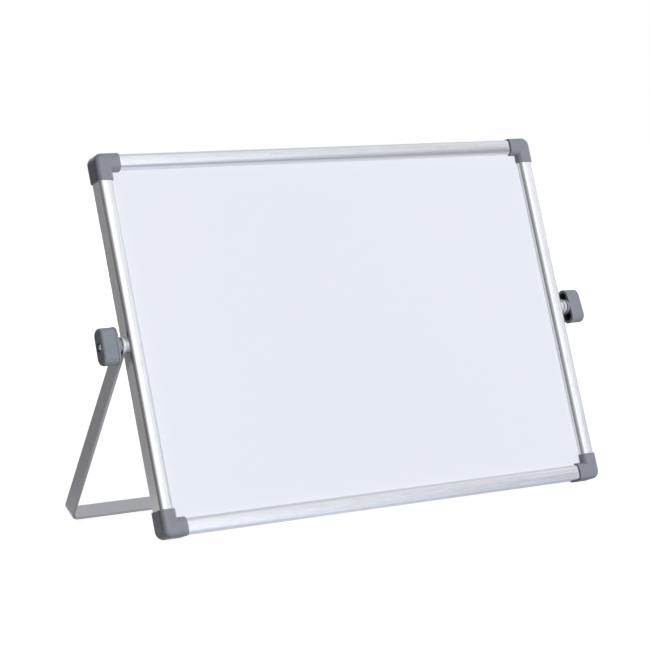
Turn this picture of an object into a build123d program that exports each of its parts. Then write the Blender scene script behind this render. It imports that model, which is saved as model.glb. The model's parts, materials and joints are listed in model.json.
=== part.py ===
from build123d import *
import math
import os

# A magnetic desk whiteboard in an aluminium frame. It hangs between the legs of a U-shaped
# stand, on two screws with wing knobs that clamp it at any lean.
# Sizes are in millimetres and angles in degrees. X runs along the board, +Y points away from
# the writer and +Z up. The origin is on the desk, under the middle of the whole easel.

# The board
board_width = 500.0  # over the side rails
board_height = 350.0  # over the top and bottom rails
board_lean = 17.3  # back from upright

# The writing panel: a core with a lacquered steel sheet on each side
sheet_thickness = 0.4
core_thickness = 6.0

# The frame rail, one extruded section for all four sides
rail_depth = 17.5  # front to back, at the crest of its domed faces
rail_width = 14.7  # from the outer face to the lip on the panel
rail_wall = 1.2
rail_edge_radius = 3.0  # the outer long edges
rail_lip_radius = 4.6  # the inner long edges, which roll down to the panel
rail_crown_radius = 40.0  # the dome of the front and back faces
rail_crest = 6.0  # from the outer face to the dome's crest
groove_depth = 5.5  # how far the lips reach over the panel
groove_rib = 2.2  # reach of the two ribs that steady the panel's edge
panel_play = 0.1  # between a sheet and the lips or ribs
panel_edge_gap = 0.5  # between the panel's edge and the bottom of the groove

# The corner cap, one moulding for all four corners
cap_wall = 1.4  # how far the sleeve stands proud of the rails
cap_arm = 24.0  # along each rail, from the board's corner
cap_corner_radius = 8.0  # seen from the front
cap_stop = 1.3  # from the lip line of one rail to the end of the other
cap_edge_bevel = 0.4  # round the sleeves' ends
cap_play = 0.1  # round the rail's end, outside and inside
tongue_length = 22.0
tongue_lead = 1.2  # the bevel at the tongue's tip

# The stand, a flat bar bent to a U
bar_width = 16.0
bar_thickness = 3.0
bar_bend_radius = 8.0  # outside of the two bends
bar_edge_bevel = 0.3
swing_room = 19.3  # between the foot bar and the board's edge as it swings past

# The pivot: nut, spacer, bush, washer and clamp screw on each side
screw_diameter = 4.0
screw_head_diameter = 6.6
screw_head_height = 2.6
screw_head_radius = 1.2  # of its rounded edge
screw_slot_width = 1.1
screw_slot_depth = 1.2
screw_neck = 4.8  # across the flats of the square neck that turns with the knob
screw_neck_length = 3.0
screw_tip_bevel = 0.5
screw_overrun = 0.8  # past the nut
screw_play = 0.25  # round the screw, where it only passes through
running_play = 0.05  # round the screw, where something turns on it
nut_thickness = 4.0
nut_length = 14.0
spacer_diameter = 14.0
spacer_length = 3.3
bush_wall = 1.0
washer_diameter = 12.0
washer_thickness = 1.0

# The wing knob
knob_length = 34.2  # the wing's ends are half rounds
knob_thickness = 15.0
knob_depth = 17.0  # along the screw
knob_edge_radius = 3.2  # all round the outer face
knob_wall = 2.6
knob_floor = 4.5  # between the pockets and the outer face
knob_rim_height = 1.6
knob_rim_proud = 0.3
hub_diameter = 15.5
hub_reach = 3.0  # past the rim, to the washer
hub_bevel = 0.5
recess_diameter = 8.8
recess_depth = 2.8
grip_pitch = 2.2
grip_radius = 0.8  # of one groove
grip_depth = 0.35
grip_band = 3.6  # smooth band between the grooves and the outer face
grip_reach = 14.0  # of the grooves along the wing's outline, from its middle
left_knob_turned = 2.7  # from square to the frame, as each was left when tightened
right_knob_turned = 5.0

# What follows from them
panel_thickness = core_thickness + 2 * sheet_thickness
groove_half = panel_thickness / 2 + panel_play
groove_floor = rail_width - groove_depth
chamber_end = groove_floor - rail_wall
cap_block = rail_width + cap_stop
panel_inset = groove_floor + panel_edge_gap
screw_radius = screw_diameter / 2
leg_inner = board_width / 2 + spacer_length
leg_outer = leg_inner + bar_thickness
leg_length = board_height / 2 + cap_wall + swing_room + bar_thickness
washer_seat = spacer_length + bar_thickness
hub_seat = washer_seat + washer_thickness
knob_mouth = hub_seat + hub_reach
knob_end = knob_mouth + knob_depth
head_seat = knob_end - recess_depth

# The board stands on the rounded back edge of its lower caps, and the stand on the front of its
# foot bar's outer face, where the bevel starts, so both touch the desk. The centre of the rounded
# edge is rail_edge_radius inside both the outer face and the dome.
lean = math.radians(board_lean)
dome_drop = math.sqrt((rail_crown_radius - rail_edge_radius) ** 2 - (rail_crest - rail_edge_radius) ** 2)
edge_up = board_height / 2 - rail_edge_radius
edge_out = rail_depth / 2 - rail_crown_radius + dome_drop
cap_edge = rail_edge_radius + cap_wall
pivot_height = edge_up * math.cos(lean) + edge_out * math.sin(lean) + cap_edge
foot_out = bar_width / 2 - bar_edge_bevel
leg_swing = math.acos(pivot_height / math.hypot(leg_length, foot_out))
leg_lean = math.atan2(foot_out, leg_length) + leg_swing

# The origin is midway between the easel's foremost and rearmost points.
board_reach = edge_up * math.sin(lean) + edge_out * math.cos(lean) + cap_edge
foot_down = leg_length - bar_edge_bevel
stand_reach = foot_down * math.sin(leg_lean) + bar_width / 2 * math.cos(leg_lean)
pivot_back = (board_reach - max(board_reach, stand_reach)) / 2

board_place = Pos(0, pivot_back, pivot_height) * Rot(X=-board_lean)
stand_place = Pos(0, pivot_back, pivot_height) * Rot(X=math.degrees(leg_lean))


def span(low, high, half_height):
    """A rectangle from low to high along the first axis, centred on the second."""
    return Pos((low + high) / 2, 0) * Rectangle(high - low, 2 * half_height)


# Rails. A section's first axis runs from the outer face in towards the panel, and its second
# axis from the back to the front.


def rail_section(grow):
    """The rail's closed outline, moved outward by grow."""
    low, high = -grow, rail_width + grow
    outline = span(low, high, rail_depth)
    for side in (1, -1):
        crown_centre = Pos(rail_crest, side * (rail_depth / 2 - rail_crown_radius))
        outline &= crown_centre * Circle(rail_crown_radius + grow)
    outline = fillet(outline.vertices().sort_by(Axis.X)[:2], rail_edge_radius + grow)
    return fillet(outline.vertices().sort_by(Axis.X)[-2:], rail_lip_radius + grow)


def rail_profile():
    """The hollow extrusion: shell, inner web, and a groove with two ribs for the panel."""
    shell = rail_section(0) - rail_section(-rail_wall)
    web = span(chamber_end, groove_floor, rail_depth) & rail_section(-rail_wall / 2)
    profile = shell + web
    for side in (1, -1):
        rib = Pos(0, side * (groove_half + rail_wall / 2))
        profile += rib * span(chamber_end, groove_floor + groove_rib, rail_wall / 2)
    return profile - span(groove_floor, rail_width + rail_wall, groove_half)


def rail(centre, inward, along, length):
    plane = Plane(origin=centre, x_dir=inward, z_dir=along)
    return extrude(plane * rail_profile(), amount=length / 2, both=True)


def level_rail(side):
    length = board_width - 2 * cap_block
    return rail((0, 0, side * board_height / 2), (0, 0, -side), (1, 0, 0), length)


def side_rail(side):
    length = board_height - 2 * cap_block
    bar = rail((side * board_width / 2, 0, 0), (-side, 0, 0), (0, 0, 1), length)
    hole = Cylinder(screw_radius + screw_play, 3 * rail_wall)
    return bar - pivot_plane(side) * hole


# Corner cap. It is made with the board's corner at the origin and an arm along X and along Z.


def cap_arm_solid(section, start, end):
    plane = Plane(origin=(start, 0, 0), x_dir=(0, 0, 1), z_dir=(1, 0, 0))
    return extrude(plane * section, amount=end - start)


def both_arms(arm):
    return arm + mirror(arm, about=Plane(origin=(0, 0, 0), z_dir=(1, 0, -1)))


def corner_cap():
    turn = cap_corner_radius - cap_wall  # radius of the board's own corner line
    outer = rail_section(cap_wall)
    arm = cap_arm_solid(outer, turn, cap_arm)
    end_edges = arm.faces().sort_by(Axis.X)[-1].edges()
    arm = chamfer(end_edges, cap_edge_bevel)
    # The arms meet in a mitre, and round the outside of the corner the section turns.
    reach = cap_arm + cap_wall
    mitre = Plane.XZ * make_face(
        Polyline((turn, -reach), (turn, turn), (reach, reach), (reach, -reach), close=True)
    )
    arm &= extrude(mitre, amount=rail_depth, both=True)
    bend_face = Plane(origin=(turn, 0, 0), x_dir=(0, 0, 1), z_dir=(1, 0, 0)) * (
        outer & span(-cap_wall, turn, rail_depth)
    )
    bend = revolve(bend_face, axis=Axis((turn, 0, turn), (0, 1, 0)), revolution_arc=90)
    cap = both_arms(arm) + bend
    cap -= both_arms(cap_arm_solid(rail_section(cap_play), cap_block, reach))
    slot_low = groove_floor
    slot = Box(reach - slot_low, 2 * groove_half, reach - slot_low)
    cap -= Pos((reach + slot_low) / 2, 0, (reach + slot_low) / 2) * slot
    chamber = rail_section(-rail_wall - cap_play)
    tongue_face = chamber & span(0, chamber_end - cap_play, rail_depth)
    tongue = cap_arm_solid(tongue_face, turn, cap_block + tongue_length)
    tip_edges = tongue.faces().sort_by(Axis.X)[-1].edges()
    return cap + both_arms(chamfer(tip_edges, tongue_lead))


# Panel


def panel_layer(back, front):
    """A sheet of the panel between two distances in front of the board's middle plane."""
    width = board_width - 2 * panel_inset
    height = board_height - 2 * panel_inset
    return Pos(0, -(back + front) / 2, 0) * Box(width, front - back, height)


# Stand. It is made upright, its legs down from the pivot line, and then leant back.


def stand_bar():
    top = bar_width / 2
    height = leg_length + top
    outer = Pos(0, top - height / 2) * Rectangle(2 * leg_outer, height)
    outer = fillet(outer.vertices().sort_by(Axis.Y)[:2], bar_bend_radius)
    inner_height = height - bar_thickness + bar_width
    inner_centre = top + bar_width - inner_height / 2
    inner = Pos(0, inner_centre) * Rectangle(2 * leg_inner, inner_height)
    inner = fillet(inner.vertices().sort_by(Axis.Y)[:2], bar_bend_radius - bar_thickness)
    bent = extrude(Plane.XZ * (outer - inner), amount=top, both=True)
    strip = Pos(0, -leg_length / 2) * Rectangle(bar_width, leg_length) + Circle(top)
    bent &= extrude(Plane.YZ * strip, amount=2 * leg_outer, both=True)
    bent = chamfer(sharp_edges(bent), bar_edge_bevel)
    hole = Cylinder(bush_radius(), 4 * leg_outer, rotation=(0, 90, 0))
    return bent - hole


def sharp_edges(bent):
    """The bar's long edges, without the seams that run across its width or thickness."""
    long_edges = []
    for edge in bent.edges():
        across = edge.tangent_at(0.5)
        seam_over_width = edge.length < bar_width * 1.01 and abs(across.Y) > 0.99
        seam_over_wall = edge.length < bar_thickness * 1.01 and abs(across.X) > 0.99
        if not (seam_over_width or seam_over_wall):
            long_edges.append(edge)
    return ShapeList(long_edges)


# Pivot. Each side's pieces are made along the screw, outward from the rail's outer face.


def pivot_plane(side):
    return Plane(origin=(side * board_width / 2, 0, 0), x_dir=(0, 1, 0), z_dir=(side, 0, 0))


def ring(low, high, outer_radius, inner_radius):
    face = Circle(outer_radius) - Circle(inner_radius)
    return Pos(0, 0, low) * extrude(face, amount=high - low)


def bush_radius():
    return screw_radius + running_play + bush_wall


def rail_nut(side):
    section = rail_section(-rail_wall - cap_play)
    section &= span(rail_wall, rail_wall + cap_play + nut_thickness, rail_depth)
    plane = Plane(origin=(side * board_width / 2, 0, 0), x_dir=(-side, 0, 0), z_dir=(0, 0, 1))
    block = extrude(plane * section, amount=nut_length / 2, both=True)
    return block - pivot_plane(side) * Cylinder(screw_radius + running_play, 2 * rail_width)


def clamp_screw():
    tip = -(rail_wall + cap_play + nut_thickness + screw_overrun)
    shank = Pos(0, 0, tip) * extrude(Circle(screw_radius), amount=head_seat - tip)
    shank = chamfer(shank.edges().sort_by(Axis.Z)[0], screw_tip_bevel)
    neck_low = head_seat - screw_neck_length
    neck = Pos(0, 0, neck_low) * extrude(Rectangle(screw_neck, screw_neck), amount=screw_neck_length)
    head = Pos(0, 0, head_seat) * extrude(Circle(screw_head_diameter / 2), amount=screw_head_height)
    head = fillet(head.edges().sort_by(Axis.Z)[-1], screw_head_radius)
    slot_middle = head_seat + screw_head_height - screw_slot_depth / 2
    slot = Pos(0, 0, slot_middle) * Box(screw_head_diameter, screw_slot_width, screw_slot_depth)
    return shank + neck + (head - slot)


def knob_plan(grow):
    return SlotOverall(knob_length + 2 * grow, knob_thickness + 2 * grow, rotation=90)


def wing_knob():
    block = extrude(knob_plan(0), amount=knob_depth)
    block = fillet(block.faces().sort_by(Axis.Z)[-1].edges(), knob_edge_radius)
    knob = block + extrude(knob_plan(knob_rim_proud), amount=knob_rim_height)
    pockets = knob_plan(-knob_wall) - Circle(hub_diameter / 2)
    knob -= extrude(pockets, amount=knob_depth - knob_floor)
    hub = Pos(0, 0, -hub_reach) * extrude(Circle(hub_diameter / 2), amount=hub_reach)
    knob += chamfer(hub.edges().sort_by(Axis.Z)[0], hub_bevel)
    knob -= grip_grooves()
    # Down the middle: a bore, a square socket for the screw's neck and a recess for its head.
    seat = knob_depth - recess_depth
    knob -= Pos(0, 0, seat) * extrude(Circle(recess_diameter / 2), amount=knob_depth)
    socket_width = screw_neck + 2 * running_play
    socket = extrude(Rectangle(socket_width, socket_width), amount=-screw_neck_length)
    knob -= Pos(0, 0, seat) * socket
    knob -= Cylinder(screw_radius + screw_play, 2 * knob_depth)
    return Pos(0, 0, knob_mouth) * knob


def grip_grooves():
    """Fine grooves along the screw's direction, on the broad faces and part way round the ends."""
    low = knob_rim_height
    groove = Pos(0, 0, low) * extrude(Circle(grip_radius), amount=knob_depth - grip_band - low)
    flat_half = (knob_length - knob_thickness) / 2
    off_middle = knob_thickness / 2 + grip_radius - grip_depth
    steps = math.floor(grip_reach / grip_pitch)
    grooves = []
    for face_turn in (0, 180):
        for step in range(-steps, steps + 1):
            along = max(-flat_half, min(flat_half, step * grip_pitch))
            round_end = math.degrees((step * grip_pitch - along) / (knob_thickness / 2))
            place = Rot(Z=face_turn) * Pos(0, along) * Rot(Z=round_end) * Pos(off_middle, 0)
            grooves.append(place * groove)
    return grooves


def easel():
    """Every piece of the easel in its place, by name."""
    pieces = {}
    pieces["stand_bar"] = stand_place * stand_bar()
    pieces["bottom_rail"] = board_place * level_rail(-1)
    pieces["top_rail"] = board_place * level_rail(1)
    corners = (("bottom_left", -1, -1), ("bottom_right", 1, -1), ("top_right", 1, 1), ("top_left", -1, 1))
    cap = corner_cap()
    for quarter, (corner, x_side, z_side) in enumerate(corners):
        place = Pos(x_side * board_width / 2, 0, z_side * board_height / 2) * Rot(Y=-90 * quarter)
        pieces[corner + "_corner_cap"] = board_place * place * cap
    half_core = core_thickness / 2
    half_panel = panel_thickness / 2
    pieces["front_writing_sheet"] = board_place * panel_layer(half_core, half_panel)
    pieces["back_writing_sheet"] = board_place * panel_layer(-half_panel, -half_core)
    pieces["panel_core"] = board_place * panel_layer(-half_core, half_core)
    leg_low, leg_high = spacer_length, spacer_length + bar_thickness
    spacer = ring(0, spacer_length, spacer_diameter / 2, screw_radius + screw_play)
    bush = ring(leg_low, leg_high, bush_radius(), screw_radius + running_play)
    washer = ring(washer_seat, hub_seat, washer_diameter / 2, screw_radius + screw_play)
    screw, knob = clamp_screw(), wing_knob()
    for hand, side, turned in (("left", -1, left_knob_turned), ("right", 1, right_knob_turned)):
        along_screw = board_place * Location(pivot_plane(side))
        knob_place = along_screw * Rot(Z=-turned)
        pieces[hand + "_rail"] = board_place * side_rail(side)
        pieces[hand + "_rail_nut"] = board_place * rail_nut(side)
        pieces[hand + "_spacer"] = along_screw * spacer
        pieces[hand + "_leg_bush"] = along_screw * bush
        pieces[hand + "_knob_washer"] = along_screw * washer
        pieces[hand + "_clamp_screw"] = knob_place * screw
        pieces[hand + "_knob"] = knob_place * knob
    return pieces


os.makedirs("parts", exist_ok=True)
for name, piece in easel().items():
    export_step(piece, f"parts/{name}.step")
print(f"pivot at y {pivot_back:.3f}, z {pivot_height:.3f}; legs lean {math.degrees(leg_lean):.3f} degrees")
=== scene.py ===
import bmesh
import bpy
import json
import math
from mathutils import Matrix, Vector


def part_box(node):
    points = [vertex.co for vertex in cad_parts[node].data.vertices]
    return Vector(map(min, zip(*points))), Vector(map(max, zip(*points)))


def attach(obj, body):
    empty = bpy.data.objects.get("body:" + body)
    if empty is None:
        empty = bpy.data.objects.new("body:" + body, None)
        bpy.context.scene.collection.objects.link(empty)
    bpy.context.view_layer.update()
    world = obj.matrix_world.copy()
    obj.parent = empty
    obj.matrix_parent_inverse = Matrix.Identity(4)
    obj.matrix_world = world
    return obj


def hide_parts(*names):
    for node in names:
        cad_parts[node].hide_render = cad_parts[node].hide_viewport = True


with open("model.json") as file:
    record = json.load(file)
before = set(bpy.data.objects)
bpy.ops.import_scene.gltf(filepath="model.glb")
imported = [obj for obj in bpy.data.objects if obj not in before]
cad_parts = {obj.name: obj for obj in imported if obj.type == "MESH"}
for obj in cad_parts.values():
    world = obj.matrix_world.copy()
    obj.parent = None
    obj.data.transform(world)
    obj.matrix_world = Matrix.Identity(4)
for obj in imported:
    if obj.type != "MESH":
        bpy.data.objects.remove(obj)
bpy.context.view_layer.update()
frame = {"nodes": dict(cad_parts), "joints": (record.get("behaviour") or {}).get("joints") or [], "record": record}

nodes = frame["nodes"]
mounts = {mount["name"]: mount for mount in frame["record"]["mounts"]}
joints = {joint["name"]: joint for joint in frame["joints"]}

# the board's own directions, and the way the stand's legs run
across = Vector((1, 0, 0))
boardFront = Vector(mounts["front_writing_face"]["axis"]).normalized()
boardUp = boardFront.cross(across)
legDown = Vector(mounts["foot_bar_underside"]["axis"]).normalized()
pivot = Vector(joints["board_tilt"]["pos_m"])
hands = {"left": -1, "right": 1}  # with the side of the middle that each is on
corners = ("bottom_left", "bottom_right", "top_right", "top_left")
knobTurned = {"left": 2.7, "right": 5.0}  # degrees from upright, as each was left when tightened


class Wire:
    # one output socket; + - * / on it add Math nodes

    def __init__(self, shop, socket):
        self.shop, self.socket = shop, socket

    def __add__(self, other):
        return self.shop.maths("ADD", self, other)

    def __sub__(self, other):
        return self.shop.maths("SUBTRACT", self, other)

    def __rsub__(self, other):
        return self.shop.maths("SUBTRACT", other, self)

    def __mul__(self, other):
        return self.shop.maths("MULTIPLY", self, other)

    def __truediv__(self, other):
        return self.shop.maths("DIVIDE", self, other)

    __radd__ = __add__
    __rmul__ = __mul__


class Shop:
    # a node tree and the few moves that every finish is made with

    def __init__(self, tree):
        self.tree = tree

    def node(self, kind, settings=None, inputs=None, output=0):
        made = self.tree.nodes.new(kind)
        for name, value in (settings or {}).items():
            if name == "stops":
                while len(made.color_ramp.elements) < len(value):
                    made.color_ramp.elements.new(1)
                for element, (place, tone) in zip(made.color_ramp.elements, value):
                    element.position, element.color = place, (*tone, 1)
            else:
                setattr(made, name, value)
        for name, value in (inputs or {}).items():
            self.feed(made.inputs[name], value)
        return Wire(self, made.outputs[output])

    def feed(self, socket, value):
        if isinstance(value, Wire):
            self.tree.links.new(value.socket, socket)
        else:
            socket.default_value = value

    def maths(self, operation, first, second=0.0):
        return self.node("ShaderNodeMath", {"operation": operation}, {0: first, 1: second})

    def place(self):
        return self.node("ShaderNodeTexCoord", output="Object")

    def vector(self, operation, first, second=(0, 0, 0), output=0):
        settings = {"operation": operation}
        return self.node("ShaderNodeVectorMath", settings, {0: first, 1: second}, output)

    def scaled(self, vector, factor):
        settings = {"operation": "SCALE"}
        return self.node("ShaderNodeVectorMath", settings, {0: vector, "Scale": factor})

    def dot(self, first, second):
        return self.vector("DOT_PRODUCT", first, second, "Value")

    def length(self, vector):
        return self.vector("LENGTH", vector, output="Value")

    def along(self, vector, axis):
        return self.node("ShaderNodeSeparateXYZ", None, {0: vector}, "XYZ".index(axis))

    def offScrews(self, vector):
        # how far it reaches from the line that the clamp screws turn on
        return self.length(self.vector("MULTIPLY", vector, (0, 1, 1)))

    def noise(self, vector, scale=1.0, detail=2.0, roughness=0.5):
        inputs = {"Vector": vector, "Scale": scale, "Detail": detail, "Roughness": roughness}
        return self.node("ShaderNodeTexNoise", None, inputs)

    def fade(self, value, low, high, start=0.0, end=1.0):
        settings = {"interpolation_type": "SMOOTHSTEP"}
        inputs = {"Value": value, "From Min": low, "From Max": high, "To Min": start, "To Max": end}
        return self.node("ShaderNodeMapRange", settings, inputs)

    def fadeOut(self, value, low, high):
        return self.fade(value, low, high, 1.0, 0.0)

    def blend(self, factor, first, second):
        # sockets 6 and 7 are the two colours, output 2 the mixed one
        first, second = ((*tone, 1) if isinstance(tone, tuple) else tone for tone in (first, second))
        inputs = {0: factor, 6: first, 7: second}
        return self.node("ShaderNodeMix", {"data_type": "RGBA"}, inputs, 2)

    def ramp(self, value, stops, span):
        # the tone at a value between -span/2 and span/2, from stops of (value, tone)
        stops = [(0.5 + at / span, (tone,) * 3) for at, tone in stops]
        return self.node("ShaderNodeValToRGB", {"stops": stops}, {"Fac": value / span + 0.5})

    def rays(self, *kinds):
        # 1 on a ray of any of these kinds
        return sum(self.node("ShaderNodeLightPath", output=kind) for kind in kinds)

    def bump(self, height, distance):
        return self.node("ShaderNodeBump", None, {"Height": height, "Distance": distance})


class Finish(Shop):
    # one material, with its shader's sockets set or driven by name

    def __init__(self, name, **sockets):
        self.material = bpy.data.materials.new(name)
        self.material.use_nodes = True
        super().__init__(self.material.node_tree)
        self.shader = self.tree.nodes["Principled BSDF"]
        self.set(**sockets)

    def set(self, **sockets):
        for name, value in sockets.items():
            value = (*value, 1) if isinstance(value, tuple) else value
            self.feed(self.shader.inputs[name.replace("_", " ")], value)

    def colour(self):
        return Wire(self, self.shader.inputs["Base Color"].links[0].from_socket)

    # darkens the colour by a share: painted shade
    def paintShade(self, share):
        self.set(Base_Color=self.scaled(self.colour(), 1 - share))

    def on(self, *names):
        for name in names:
            slots = nodes[name].data.materials
            slots.clear()
            slots.append(self.material)


# along the grain a streak is long, across it fine; both in streaks per metre
def grain(shop, along, fine, long):
    place = shop.place()
    lengthwise = shop.scaled(tuple(along), shop.dot(place, along))
    crosswise = shop.vector("SUBTRACT", place, lengthwise)
    return shop.vector("ADD", shop.scaled(crosswise, fine), shop.scaled(lengthwise, long))


railLook = {"tone": (0.82, 0.835, 0.87), "dim": (0.76, 0.775, 0.805), "roughness": 0.17, "spread": 0.08,
            "fine": 2600, "long": 9, "broad": (420, 3), "cloud": 34.0, "cloudSpread": 0.06,
            "shares": (0.4, 0.4, 0.2), "depth": 0.00008}


def drawnAluminium(name, along, look):
    finish = Finish(name, Metallic=1.0)
    streak = finish.noise(grain(finish, along, look["fine"], look["long"]), detail=3.0, roughness=0.6)
    broad = finish.noise(grain(finish, along, *look["broad"]))
    cloud = finish.noise(finish.place(), look["cloud"], detail=3.0)
    shares = look["shares"]
    mixed = streak * shares[0] + broad * shares[1] + cloud * shares[2]
    cloudy = (cloud - 0.5) * look["cloudSpread"]
    finish.set(Base_Color=finish.blend(mixed, look["dim"], look["tone"]),
               Roughness=(streak - 0.5) * look["spread"] + cloudy + look["roughness"],
               Normal=finish.bump(streak, look["depth"]))
    return finish


drawnAluminium("drawn_rail_across", across, railLook).on("bottom_rail")

# the painted shade band's edges, as heights from the rail's outer edge; it widens by so much per metre to
# the right
paintedShadeBandLook = {"inside": (-0.0135, -0.0121), "outside": (-0.0113, -0.0078), "widens": 0.011, "paintShade": 0.34}


def paintShadedTopRail():
    # the top rail is darker along its inner side: painted shade
    finish = drawnAluminium("drawn_rail_top", across, railLook)
    outerEdge = max(boardUp.dot(corner.co) for corner in nodes["top_rail"].data.vertices)
    height = finish.dot(finish.place(), boardUp) - outerEdge
    fullShade, bright = paintedShadeBandLook["outside"]
    bright = finish.dot(finish.place(), across) * paintedShadeBandLook["widens"] + bright
    band = finish.fade(height, *paintedShadeBandLook["inside"]) * finish.fadeOut(height, fullShade, bright)
    # painted shade along the top rail's inner side
    finish.paintShade(band * paintedShadeBandLook["paintShade"])
    finish.on("top_rail")


paintShadedTopRail()

# the side rails are paler than the level ones: painted light, for the brighter reflections they show
litUprightLook = dict(railLook, tone=(0.95, 0.955, 0.97), dim=(0.82, 0.82, 0.845))
drawnAluminium("drawn_rail_upright", boardUp, litUprightLook).on("right_rail")

paintedShadeLeftLook = {"side": (0.2496, 0.2499), "sideShade": 0.21, "edge": (0.2460, 0.2480), "edgeShade": 0.36,
               "upward": (0.20, 0.31, 1.0, 0.4)}


def paintShadedLeftRail():
    # the left rail is darker on its outer side and along the edge in front of it, least at its top: painted shade
    # the paler tone here is painted light too
    finish = drawnAluminium("drawn_rail_left", boardUp, litUprightLook)
    outward = 0 - finish.dot(finish.place(), across)
    side = finish.fade(outward, *paintedShadeLeftLook["side"])
    edge = finish.fade(outward, *paintedShadeLeftLook["edge"]) * (1 - side)
    low = finish.fade(finish.along(finish.place(), "Z"), *paintedShadeLeftLook["upward"])
    # painted shade on the left rail's outer side and front edge
    finish.paintShade(low * (side * paintedShadeLeftLook["sideShade"] + edge * paintedShadeLeftLook["edgeShade"]))
    finish.on("left_rail")


paintShadedLeftRail()
print("rails finished")

barLook = {"tone": (0.58, 0.58, 0.61), "dim": (0.47, 0.47, 0.50), "roughness": 0.32, "spread": 0.16,
           "fine": 2200, "long": 14, "depth": 0.00002, "cloud": 60.0, "cloudSpread": 0.1,
           "shares": (0.6, 0.4), "legFrom": 0.002, "edge": (0.0076, 0.0078), "edgeShade": 0.26,
           "highlightRim": (0.0076, 0.0077), "end": (0.0, 0.003), "endHighlight": (0.80, 0.80, 0.81)}


def brushedBar():
    finish = Finish("brushed_flat_bar", Metallic=1.0)
    legs, foot = (finish.noise(grain(finish, along, barLook["fine"], barLook["long"]), detail=3.0,
                               roughness=0.65) for along in (legDown, across))
    legInside = -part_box("left_leg_bush")[1].x
    offMiddle = finish.maths("ABSOLUTE", finish.along(finish.place(), "X"))
    onLeg = finish.fade(offMiddle, legInside - barLook["legFrom"], legInside)
    streak = legs * onLeg + foot * (1 - onLeg)
    cloud = finish.noise(finish.place(), barLook["cloud"], detail=3.0)
    shares = barLook["shares"]
    mixed = streak * shares[0] + cloud * shares[1]
    plain = finish.blend(mixed, barLook["dim"], barLook["tone"])
    # the legs' long edges are darker than their faces: painted shade
    offPivot = finish.vector("SUBTRACT", finish.place(), tuple(pivot))
    onEnd = finish.fadeOut(finish.dot(offPivot, legDown), *barLook["end"])
    offCentre = finish.maths("ABSOLUTE", finish.dot(offPivot, across.cross(legDown)))
    edge = finish.fade(offCentre, *barLook["edge"]) * onLeg * (1 - onEnd)
    # painted shade on the legs' long edges
    plain = finish.scaled(plain, 1 - edge * barLook["edgeShade"])
    # their rounded ends' rims are paler: a painted highlight
    highlightRim = finish.fade(finish.offScrews(offPivot), *barLook["highlightRim"])
    cloudy = (cloud - 0.5) * barLook["cloudSpread"]
    # painted highlight on the rims of the rounded ends
    finish.set(Base_Color=finish.blend(highlightRim * onEnd, plain, barLook["endHighlight"]),
               Roughness=(streak - 0.5) * barLook["spread"] + cloudy + barLook["roughness"],
               Normal=finish.bump(streak, barLook["depth"]))
    finish.on("stand_bar")


brushedBar()
print("stand finished")

panelLook = {"tone": (0.80, 0.83, 0.90), "warm": (0.815, 0.835, 0.885), "cloud": 5.0, "roughness": 0.22,
             "wiped": (260, 18), "wipedSpread": 0.10, "peel": 900.0, "depth": 0.000006,
             "coat": 0.4, "coatRoughness": 0.12}


def lacquer():
    finish = Finish("white_lacquer", Coat_Weight=panelLook["coat"],
                    Coat_Roughness=panelLook["coatRoughness"])
    cloud = finish.noise(finish.place(), panelLook["cloud"])
    peel = finish.noise(finish.place(), panelLook["peel"])
    wiped = finish.noise(grain(finish, across, *panelLook["wiped"]))
    finish.set(Base_Color=finish.blend(cloud, panelLook["tone"], panelLook["warm"]),
               Roughness=(wiped - 0.5) * panelLook["wipedSpread"] + panelLook["roughness"],
               Normal=finish.bump(peel, panelLook["depth"]))
    finish.on("front_writing_sheet", "back_writing_sheet")


lacquer()
print("panel finished")

plasticLook = {"cloud": 120.0, "pores": 5200.0, "shares": (0.6, 0.4), "cloudSpread": 0.1,
               "poreSpread": 0.16, "depth": 0.00003, "gloss": 0.45}
capLook = dict(plasticLook, tone=(0.222, 0.233, 0.269), pale=(0.248, 0.260, 0.298), roughness=0.26,
               gloss=0.62)


def mouldedPlastic(name, look):
    finish = Finish(name, Specular_IOR_Level=look["gloss"])
    cloud = finish.noise(finish.place(), look["cloud"], detail=3.0)
    pores = finish.noise(finish.place(), look["pores"])
    shares = look["shares"]
    mixed = cloud * shares[0] + pores * shares[1]
    cloudy = (cloud - 0.5) * look["cloudSpread"]
    finish.set(Base_Color=finish.blend(mixed, look["tone"], look["pale"]),
               Roughness=(pores - 0.5) * look["poreSpread"] + cloudy + look["roughness"],
               Normal=finish.bump(pores, look["depth"]))
    return finish


mouldedPlastic("cap_plastic_look", capLook).on(*[corner + "_corner_cap" for corner in corners])

# the knobs are paler than the caps: painted light, making up for the shade in their grooves
# a hollow reaches so far from the wing's middle line, and from its mouth down to its floor
knobLook = dict(plasticLook, tone=(0.250, 0.263, 0.302), pale=(0.276, 0.290, 0.331), roughness=0.38,
                recess=(0.0043, 0.0044), recessShade=(0.030, 0.030, 0.034), wingHalf=0.0096,
                hollow=(0.0052, 0.0053), mouth=(0.0006, 0.0030), floor=(0.0128, 0.0129),
                hollowShade=(0.105, 0.109, 0.120))


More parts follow.
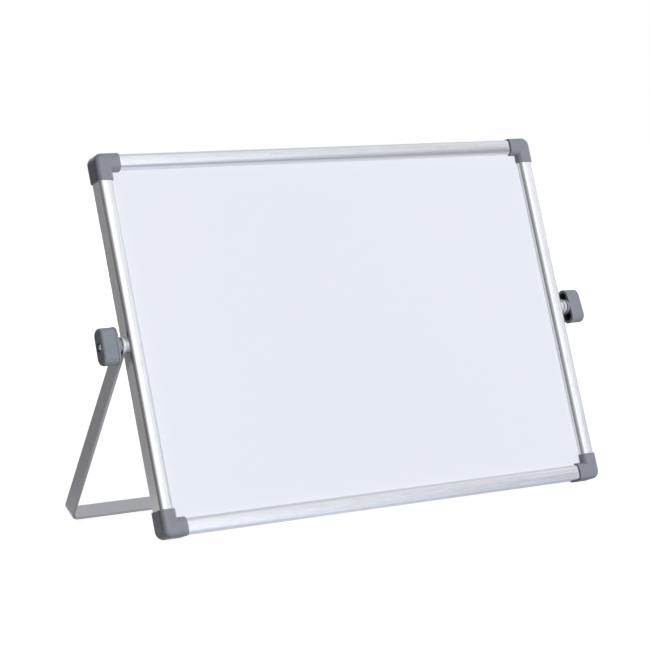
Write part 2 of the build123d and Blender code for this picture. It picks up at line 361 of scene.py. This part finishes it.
def knobPlastic(hand, side):
    # painted shade blackens the recess round the screw's head and the hollows towards the board
    finish = mouldedPlastic(hand + "_knob_look", knobLook)
    place = finish.vector("SUBTRACT", finish.place(), tuple(pivot))
    outside = finish.fade(finish.offScrews(place), *knobLook["recess"])
    # painted shade in the recess round the screw's head
    plain = finish.blend(outside, knobLook["recessShade"], finish.colour())
    turn = math.radians(knobTurned[hand])
    alongWing = math.cos(turn) * boardUp + math.sin(turn) * side * -boardFront
    limits = {0: finish.dot(place, alongWing), 1: -knobLook["wingHalf"], 2: knobLook["wingHalf"]}
    onLine = finish.scaled(tuple(alongWing), finish.node("ShaderNodeClamp", None, limits))
    offLine = finish.offScrews(finish.vector("SUBTRACT", place, onLine))
    low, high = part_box(hand + "_knob")
    mouth = low.x if side > 0 else -high.x
    depth = finish.dot(finish.place(), across * side) - mouth
    hollow = finish.fadeOut(offLine, *knobLook["hollow"]) * finish.fade(depth, *knobLook["mouth"])
    hollow = hollow * finish.fadeOut(depth, *knobLook["floor"])
    # painted shade in the hollows towards the board
    finish.set(Base_Color=finish.blend(hollow, plain, knobLook["hollowShade"]))
    finish.on(hand + "_knob")


for hand, side in hands.items():
    knobPlastic(hand, side)
print("plastic finished")

zincLook = {"tone": (0.86, 0.86, 0.85), "dim": (0.72, 0.72, 0.73), "roughness": 0.24, "spread": 0.2,
            "cloud": 420.0, "scuff": 2400.0, "depth": 0.00001}


def zinc():
    finish = Finish("bright_zinc", Metallic=1.0)
    cloud = finish.noise(finish.place(), zincLook["cloud"], detail=3.0)
    scuff = finish.noise(finish.place(), zincLook["scuff"], detail=3.0)
    finish.set(Base_Color=finish.blend(cloud, zincLook["dim"], zincLook["tone"]),
               Roughness=(scuff - 0.5) * zincLook["spread"] + zincLook["roughness"],
               Normal=finish.bump(scuff, zincLook["depth"]))
    return finish


brightZinc = zinc()
brightZinc.on(*[hand + part for hand in hands for part in ("_knob_washer", "_rail_nut")])

screwForm = {"shank": 0.0020, "root": 0.0017, "pitch": 0.0007, "steepness": 1.3, "tip": 0.0002,
             "tipBevel": 0.0005, "neckWidth": 0.0048, "neckLength": 0.0030, "headHeight": 0.0026,
             "headRim": 0.0007, "domeRings": 10, "slotWidth": 0.0011, "slotDepth": 0.0013,
             "facets": 32, "ringsPerTurn": 6, "sharpFrom": 35}


def threadRadius(along, angle, shankEnd):
    form = screwForm
    phase = (along / form["pitch"] - angle / (2 * math.pi)) % 1
    crest = min(1, form["steepness"] * (1 - abs(2 * phase - 1)))
    runOut = min(1, along / form["pitch"], (shankEnd - along) / form["pitch"])
    radius = form["root"] + (form["shank"] - form["root"]) * crest * max(0, runOut)
    return min(radius, form["shank"] - form["tipBevel"] + along)


def screwRings(length, headRadius):
    # (distance from the tip, radius at each angle) from the tip to the middle of the domed head
    form = screwForm
    angles = [2 * math.pi * step / form["facets"] for step in range(form["facets"])]
    headSeat = length - form["headHeight"]
    shankEnd = headSeat - form["neckLength"]
    count = round(shankEnd / form["pitch"] * form["ringsPerTurn"])
    rings = [(0, [form["tip"]] * form["facets"])]
    for step in range(count + 1):
        along = shankEnd * step / count
        rings.append((along, [threadRadius(along, angle, shankEnd) for angle in angles]))
    # the square neck
    neck = [form["neckWidth"] / 2 / max(abs(math.cos(angle)), abs(math.sin(angle))) for angle in angles]
    rings += [(shankEnd, neck), (headSeat, neck)]
    rise = form["headHeight"] - form["headRim"]
    domeRadius = (headRadius ** 2 + rise ** 2) / (2 * rise)
    rings += [(headSeat, [headRadius] * form["facets"])]
    for ring in range(form["domeRings"]):
        radius = headRadius * (1 - ring / (form["domeRings"] - 0.5))
        sag = domeRadius - math.sqrt(domeRadius ** 2 - radius ** 2)
        rings.append((length - sag, [radius] * form["facets"]))
    return angles, rings


def newPiece(name, shape):
    mesh = bpy.data.meshes.new(name)
    shape.to_mesh(mesh)
    shape.free()
    piece = bpy.data.objects.new(name, mesh)
    bpy.context.scene.collection.objects.link(piece)
    return piece


def threadedScrew(hand, side):
    form = screwForm
    low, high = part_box(hand + "_clamp_screw")
    length, headRadius = high.x - low.x, (high.y - low.y) / 2
    outward = across * side
    tip = Vector((low.x if side > 0 else high.x, pivot.y, pivot.z))
    turn = math.radians(-knobTurned[hand])
    alongSlot = math.cos(turn) * -boardFront + math.sin(turn) * outward.cross(-boardFront)
    overSlot = outward.cross(alongSlot)
    angles, rings = screwRings(length, headRadius)
    shape = bmesh.new()
    rows = []
    for along, radii in rings:
        middle = tip + outward * along
        rows.append([])
        for angle, radius in zip(angles, radii):
            spoke = math.cos(angle) * alongSlot + math.sin(angle) * overSlot
            rows[-1].append(shape.verts.new(middle + radius * spoke))
    for first, second in zip(rows, rows[1:]):
        for step in range(form["facets"]):
            after = (step + 1) % form["facets"]
            shape.faces.new((first[step], first[after], second[after], second[step]))
    shape.faces.new(reversed(rows[0]))
    shape.faces.new(rows[-1])
    screw = newPiece(hand + "_threaded_screw", shape)
    cutSlot(screw, tip + outward * length, headRadius, (alongSlot, overSlot, outward))
    screw.data.materials.clear()
    screw.data.materials.append(brightZinc.material)
    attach(screw, hand + "_knob_and_screw")
    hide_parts(hand + "_clamp_screw")


def cutSlot(screw, top, headRadius, ways):
    # a block wider than the head and centred on its top, so that half its height cuts
    block = bmesh.new()
    place = Matrix(ways).transposed().to_4x4()
    place.translation = top
    size = Matrix.Diagonal((3 * headRadius, screwForm["slotWidth"], 2 * screwForm["slotDepth"], 1))
    bmesh.ops.create_cube(block, size=1, matrix=place @ size)
    cutter = newPiece("slot_cutter", block)
    slotted = screw.modifiers.new("slot", "BOOLEAN")
    slotted.object, slotted.solver = cutter, "EXACT"
    mesh = bpy.data.meshes.new_from_object(screw.evaluated_get(bpy.context.evaluated_depsgraph_get()))
    screw.modifiers.clear()
    screw.data = mesh
    bpy.data.objects.remove(cutter)
    mesh.shade_smooth()
    mesh.set_sharp_from_angle(angle=math.radians(screwForm["sharpFrom"]))


for hand, side in hands.items():
    threadedScrew(hand, side)
print("screws threaded and slotted")

# turned, so that the fine lines run round; the left collar is darker than the right one: painted shade
spacerLook = dict(railLook, tone=(0.95, 0.95, 0.96), dim=(0.86, 0.86, 0.87), roughness=0.3, spread=0.1,
                  fine=500, long=5000, broad=(200, 3), depth=0.00001)
shadedSpacerLook = dict(spacerLook, tone=(0.66, 0.66, 0.67), dim=(0.56, 0.56, 0.57))
# painted shade on the left collar
for hand, look in zip(hands, (shadedSpacerLook, spacerLook)):
    drawnAluminium(hand + "_turned_collar", across, look).on(hand + "_spacer")

bushLook = dict(plasticLook, tone=(0.70, 0.69, 0.64), pale=(0.76, 0.75, 0.71), roughness=0.5)
mouldedPlastic("natural_bush", bushLook).on(*[hand + "_leg_bush" for hand in hands])

coreLook = {"tone": (0.60, 0.49, 0.36), "dark": (0.36, 0.27, 0.18), "fibres": (420, 2400),
            "roughness": 0.9, "depth": 0.0001}


def fibreBoard():
    finish = Finish("fibre_board", Roughness=coreLook["roughness"])
    fibres = finish.noise(grain(finish, boardFront, *coreLook["fibres"]), detail=4.0, roughness=0.7)
    finish.set(Base_Color=finish.blend(fibres, coreLook["dark"], coreLook["tone"]),
               Normal=finish.bump(fibres, coreLook["depth"]))
    finish.on("panel_core")


fibreBoard()
print("small pieces finished")

# the camera stands to the left of the board, a little above it; its target is from the pivot
shot = {"lens": 133.73, "sensor": 36, "clip": (0.05, 60), "target": (-0.0341, 0.0, 0.0027),
        "distance": 2.2723, "azimuth": 34.41, "pitch": 5.151, "roll": -1.428}


def addCamera():
    turn, dip, roll = (math.radians(shot[name]) for name in ("azimuth", "pitch", "roll"))
    ahead = Vector((math.sin(turn) * math.cos(dip), math.cos(turn) * math.cos(dip), -math.sin(dip)))
    right = Vector((math.cos(turn), -math.sin(turn), 0))
    up = right.cross(ahead)
    right, up = (math.cos(roll) * right + math.sin(roll) * up,
                 math.cos(roll) * up - math.sin(roll) * right)
    camera = bpy.data.objects.new("camera", bpy.data.cameras.new("camera"))
    bpy.context.scene.collection.objects.link(camera)
    place = Matrix((right, up, -ahead)).transposed().to_4x4()
    place.translation = pivot + Vector(shot["target"]) - shot["distance"] * ahead
    camera.matrix_world = place
    camera.data.lens, camera.data.sensor_width = shot["lens"], shot["sensor"]
    camera.data.clip_start, camera.data.clip_end = shot["clip"]
    bpy.context.scene.camera = camera


addCamera()

# the studio as the metal sees it, going round from behind (-180 degrees) past the left, the front
# (0) and the right: a bright wall behind, a dark corner to the left, a softbox right of the front;
# heights run from 0 at the horizon to 1 straight up
sweep = {"round": ((-180, 1.30), (-170, 0.80), (-160, 0.30), (-145, 0.22), (-108, 0.21), (-80, 0.20),
                   (-69, 0.16), (-57, 0.36), (-40, 0.46), (-24, 0.36), (-8, 0.76), (6, 1.05), (16, 1.44),
                   (31, 1.50), (35, 1.07), (38, 0.70), (43, 0.58), (49, 0.98), (58, 1.02), (80, 0.84),
                   (105, 0.74), (130, 0.64), (155, 0.62), (168, 1.10), (180, 1.30)),
         "scale": 1.5, "highFrom": (0.50, 0.70), "high": (0.64, 0.88, 0.95, 0.68),
         "edge": (0.22, 0.33), "under": (1.0, 0.56), "underFrom": (33, 41), "front": (-0.35, 0.0),
         "tint": (0.985, 1.0, 1.02), "cool": (0.915, 0.985, 1.14), "leftCool": 0.5,
         "forLight": 0.48, "lessAbove": 0.45, "above": (0.3, 0.9)}
lamps = {"softbox": {"from": (1.9, -5.7, 2.1), "size": 2.6, "watts": 308},
         "back_fill": {"from": (1.0, 5.2, 0.9), "size": 2.6, "watts": 250}}
# the floor's tone in the metal is painted light and shade of the floor; it runs from behind on the left to the
# front on the right, by distance from the easel's middle
ground = {"half": 12.0, "tone": 0.34, "roughness": 0.9, "lift": (0.45, 1.3, 0.87, 1.0),
          "lightward": (0.45, -0.89, 0), "span": 2.4,
          "mirrored": ((-1.2, 0.16), (-0.9, 0.14), (-0.4, 0.17), (-0.14, 0.42), (-0.05, 0.62),
                       (0.0, 0.66), (0.04, 0.78), (0.12, 0.68), (0.28, 0.58), (0.5, 0.54), (0.8, 0.54)),
          "sideways": (0.89, 0.45, 0), "sideTone": (-0.3, 0.35, 1.14, 0.80),
          "coolSide": (0.95, 0.985, 1.10), "warmSide": (1.04, 0.985, 0.985), "coolFrom": (-0.06, 0.0),
          "gapShadow": 0.34, "gapFront": (-0.097, -0.087), "gapBack": (-0.07, -0.05)}


def sweepTone(shop, way):
    depth, height = shop.along(way, "Y"), shop.along(way, "Z")
    turn = shop.maths("ARCTAN2", shop.along(way, "X"), 0 - depth)
    stops = [(math.radians(degrees), tone / sweep["scale"]) for degrees, tone in sweep["round"]]
    around = shop.ramp(turn, stops, 2 * math.pi)
    # under the softbox's edge the front is cooler, and dimmer to its right
    reach = [math.radians(degrees) for degrees in sweep["underFrom"]]
    rightward = shop.fade(turn, *reach)
    under = shop.fade(turn, *reach, *sweep["under"])
    below = (1 - shop.fade(height, *sweep["edge"])) * shop.fadeOut(depth, *sweep["front"])
    dim = 1 - below * (1 - under)
    high = shop.fade(height, *sweep["highFrom"])
    zenith = shop.fade(height, *sweep["high"])
    tone = around * sweep["scale"] * dim * (1 - high) + high * zenith
    coolness = below * (rightward * (1 - sweep["leftCool"]) + sweep["leftCool"])
    return tone, shop.blend(coolness, sweep["tint"], sweep["cool"])


def addSweep():
    world = bpy.data.worlds.new("studio")
    world.use_nodes = True
    bpy.context.scene.world = world
    shop = Shop(world.node_tree)
    way = shop.node("ShaderNodeTexCoord", output="Generated")
    tone, tint = sweepTone(shop, way)
    seen = shop.node("ShaderNodeLightPath", output="Is Camera Ray")
    mirrored = shop.rays("Is Glossy Ray", "Is Transmission Ray")
    # what lights the dull surfaces is dimmer than what the metal sees, most from above
    above = shop.fade(shop.along(way, "Z"), *sweep["above"])
    forLight = sweep["forLight"] * (1 - above * sweep["lessAbove"])
    level = mirrored * (1 - forLight) + forLight
    background = world.node_tree.nodes["Background"]
    shop.feed(background.inputs["Color"], shop.blend(seen, shop.scaled(tint, tone * level), (1, 1, 1)))
    shop.feed(background.inputs["Strength"], 1)


def addLamp(name, lamp):
    data = bpy.data.lights.new(name, "AREA")
    data.energy, data.size = lamp["watts"], lamp["size"]
    light = bpy.data.objects.new(name, data)
    bpy.context.scene.collection.objects.link(light)
    light.location = lamp["from"]
    light.rotation_mode = "QUATERNION"
    light.rotation_quaternion = (light.location - pivot).to_track_quat("Z", "Y")
    light.visible_glossy = False  # the sweep gives the reflections


def addGround():
    half = ground["half"]
    mesh = bpy.data.meshes.new("floor")
    mesh.from_pydata([(-half, -half, 0), (half, -half, 0), (half, half, 0), (-half, half, 0)], [],
                     [(0, 1, 2, 3)])
    floor = bpy.data.objects.new("floor", mesh)
    bpy.context.scene.collection.objects.link(floor)
    finish = Finish("white_ground", Roughness=ground["roughness"], Specular_IOR_Level=0.0,
                    Emission_Strength=1.0)
    place = finish.place()
    lightward = finish.dot(place, ground["lightward"])
    # painted light and shade of the floor, seen only in reflections
    tone = finish.ramp(lightward, ground["mirrored"], ground["span"])
    tone = tone * finish.fade(finish.dot(place, ground["sideways"]), *ground["sideTone"])
    # a painted contact shadow under the bottom rail darkens the floor as the metal mirrors it
    depth = finish.along(place, "Y")
    gap = finish.fade(depth, *ground["gapFront"]) * finish.fadeOut(depth, *ground["gapBack"])
    # painted contact shadow under the bottom rail
    tone = tone * (1 - gap * ground["gapShadow"])
    tint = finish.blend(finish.fade(lightward, *ground["coolFrom"]), ground["warmSide"], ground["coolSide"])
    seen = finish.node("ShaderNodeLightPath", output="Is Camera Ray")
    mirrored = finish.rays("Is Glossy Ray", "Is Transmission Ray")
    # seen directly it is lifted to plain white away from the easel
    lifted = finish.scaled((1, 1, 1), finish.fade(finish.length(place), *ground["lift"]))
    finish.set(Base_Color=(ground["tone"],) * 3,
               Emission_Color=finish.blend(seen, finish.scaled(tint, mirrored * tone), lifted))
    mesh.materials.append(finish.material)


addSweep()
for name, lamp in lamps.items():
    addLamp(name, lamp)
addGround()
bpy.context.scene.view_settings.view_transform = "Standard"
print("studio ready")
